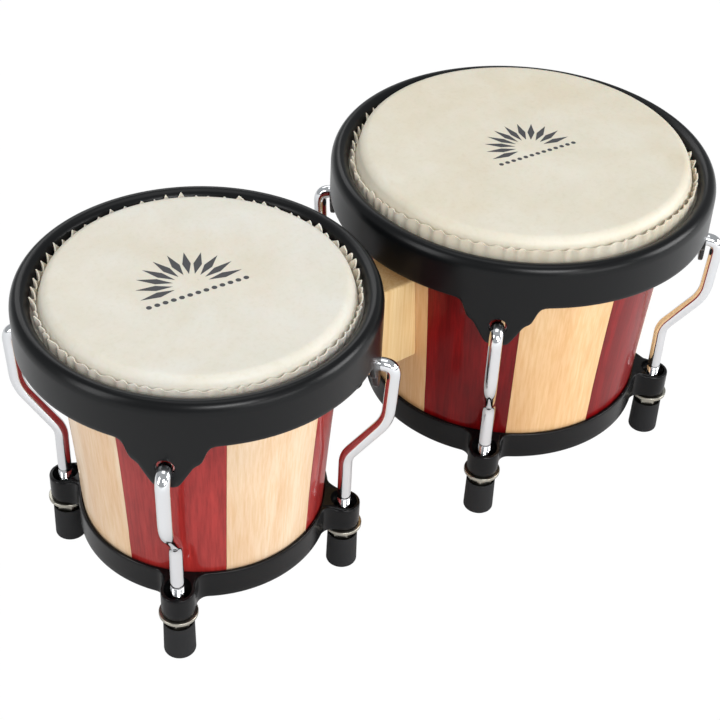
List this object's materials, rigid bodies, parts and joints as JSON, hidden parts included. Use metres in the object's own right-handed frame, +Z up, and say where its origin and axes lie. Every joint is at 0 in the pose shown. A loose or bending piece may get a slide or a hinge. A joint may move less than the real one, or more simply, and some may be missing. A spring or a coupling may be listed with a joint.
{
  "type": "bongo drums",
  "caption": "Pair of bongo drums with striped stave shells on a wooden centre block, hide heads held by black steel rims, chrome hook rods and rubber feet",
  "frame": {"origin": "on the floor plane under the middle of the pair's length and width", "axes": "+X runs along the pair from the small drum to the large drum, +Z is up, -Y is the front"},
  "size_m": [0.3992, 0.207, 0.1818],
  "materials": {
    "natural_wood": "gloss varnish over pale wood",
    "red_wood": "gloss varnish over deep red stain",
    "block_wood": "satin pale wood",
    "black_steel": "satin black powder coat",
    "chrome": "polished chrome",
    "zinc": "zinc plated",
    "bare_steel": "plain steel",
    "rubber": "matte moulded rubber",
    "hide": "untanned translucent hide"
  },
  "bodies": {
    "shells": {"small_stave_1": "red_wood", "small_stave_2": "natural_wood", "small_stave_3": "red_wood", "small_stave_4": "natural_wood", "small_stave_5": "red_wood", "small_stave_6": "natural_wood", "small_stave_7": "red_wood", "small_stave_8": "natural_wood", "small_head_skin": "hide", "small_bottom_ring": "black_steel", "small_washer_back_right": "zinc", "small_washer_back_left": "zinc", "small_washer_front_left": "zinc", "small_washer_front_right": "zinc", "large_stave_1": "natural_wood", "large_stave_2": "red_wood", "large_stave_3": "natural_wood", "large_stave_4": "red_wood", "large_stave_5": "natural_wood", "large_stave_6": "red_wood", "large_stave_7": "natural_wood", "large_stave_8": "red_wood", "large_stave_9": "natural_wood", "large_stave_10": "red_wood", "large_head_skin": "hide", "large_bottom_ring": "black_steel", "large_washer_back_right": "zinc", "large_washer_back_left": "zinc", "large_washer_front_left": "zinc", "large_washer_front_right": "zinc", "centre_block": "block_wood", "block_through_bolt": "bare_steel"},
    "small_nut_back_right": {"small_nut_back_right": "zinc"},
    "small_nut_back_left": {"small_nut_back_left": "zinc"},
    "small_nut_front_left": {"small_nut_front_left": "zinc"},
    "small_nut_front_right": {"small_nut_front_right": "zinc"},
    "small_tuning_set": {"small_rim": "black_steel", "small_flesh_hoop": "hide", "small_rod_back_right": "chrome", "small_foot_back_right": "rubber", "small_rod_back_left": "chrome", "small_foot_back_left": "rubber", "small_rod_front_left": "chrome", "small_foot_front_left": "rubber", "small_rod_front_right": "chrome", "small_foot_front_right": "rubber"},
    "large_nut_back_right": {"large_nut_back_right": "zinc"},
    "large_nut_back_left": {"large_nut_back_left": "zinc"},
    "large_nut_front_left": {"large_nut_front_left": "zinc"},
    "large_nut_front_right": {"large_nut_front_right": "zinc"},
    "large_tuning_set": {"large_rim": "black_steel", "large_flesh_hoop": "hide", "large_rod_back_right": "chrome", "large_foot_back_right": "rubber", "large_rod_back_left": "chrome", "large_foot_back_left": "rubber", "large_rod_front_left": "chrome", "large_foot_front_left": "rubber", "large_rod_front_right": "chrome", "large_foot_front_right": "rubber"}
  },
  "joints": [
    {"name": "small_tuning", "type": "slide", "parent": "shells", "child": "small_tuning_set", "axis": [0, 0, 1], "range_m": [-0.003, 0.002]},
    {"name": "small_nut_turn_back_right", "type": "hinge", "parent": "shells", "child": "small_nut_back_right", "pos_m": [-0.06034, 0.05422, 0.022], "axis": [0, 0, 1], "range_deg": [-740, 1100]},
    {"name": "small_nut_turn_back_left", "type": "hinge", "parent": "shells", "child": "small_nut_back_left", "pos_m": [-0.16477, 0.05021, 0.022], "axis": [0, 0, 1], "range_deg": [-740, 1100]},
    {"name": "small_nut_turn_front_left", "type": "hinge", "parent": "shells", "child": "small_nut_front_left", "pos_m": [-0.16076, -0.05422, 0.022], "axis": [0, 0, 1], "range_deg": [-740, 1100]},
    {"name": "small_nut_turn_front_right", "type": "hinge", "parent": "shells", "child": "small_nut_front_right", "pos_m": [-0.05633, -0.05021, 0.022], "axis": [0, 0, 1], "range_deg": [-740, 1100]},
    {"name": "large_tuning", "type": "slide", "parent": "shells", "child": "large_tuning_set", "axis": [0, 0, 1], "range_m": [-0.003, 0.002]},
    {"name": "large_nut_turn_back_right", "type": "hinge", "parent": "shells", "child": "large_nut_back_right", "pos_m": [0.16082, 0.06104, 0.022], "axis": [0, 0, 1], "range_deg": [-740, 1100]},
    {"name": "large_nut_turn_back_left", "type": "hinge", "parent": "shells", "child": "large_nut_back_left", "pos_m": [0.03501, 0.06477, 0.022], "axis": [0, 0, 1], "range_deg": [-740, 1100]},
    {"name": "large_nut_turn_front_left", "type": "hinge", "parent": "shells", "child": "large_nut_front_left", "pos_m": [0.03128, -0.06104, 0.022], "axis": [0, 0, 1], "range_deg": [-740, 1100]},
    {"name": "large_nut_turn_front_right", "type": "hinge", "parent": "shells", "child": "large_nut_front_right", "pos_m": [0.15709, -0.06477, 0.022], "axis": [0, 0, 1], "range_deg": [-740, 1100]}
  ],
  "couplings": [
    {"joint": "small_nut_turn_back_right", "follows": "small_tuning", "rad_per_m": -6283.2},
    {"joint": "small_nut_turn_back_left", "follows": "small_tuning", "rad_per_m": -6283.2},
    {"joint": "small_nut_turn_front_left", "follows": "small_tuning", "rad_per_m": -6283.2},
    {"joint": "small_nut_turn_front_right", "follows": "small_tuning", "rad_per_m": -6283.2},
    {"joint": "large_nut_turn_back_right", "follows": "large_tuning", "rad_per_m": -6283.2},
    {"joint": "large_nut_turn_back_left", "follows": "large_tuning", "rad_per_m": -6283.2},
    {"joint": "large_nut_turn_front_left", "follows": "large_tuning", "rad_per_m": -6283.2},
    {"joint": "large_nut_turn_front_right", "follows": "large_tuning", "rad_per_m": -6283.2}
  ]
}
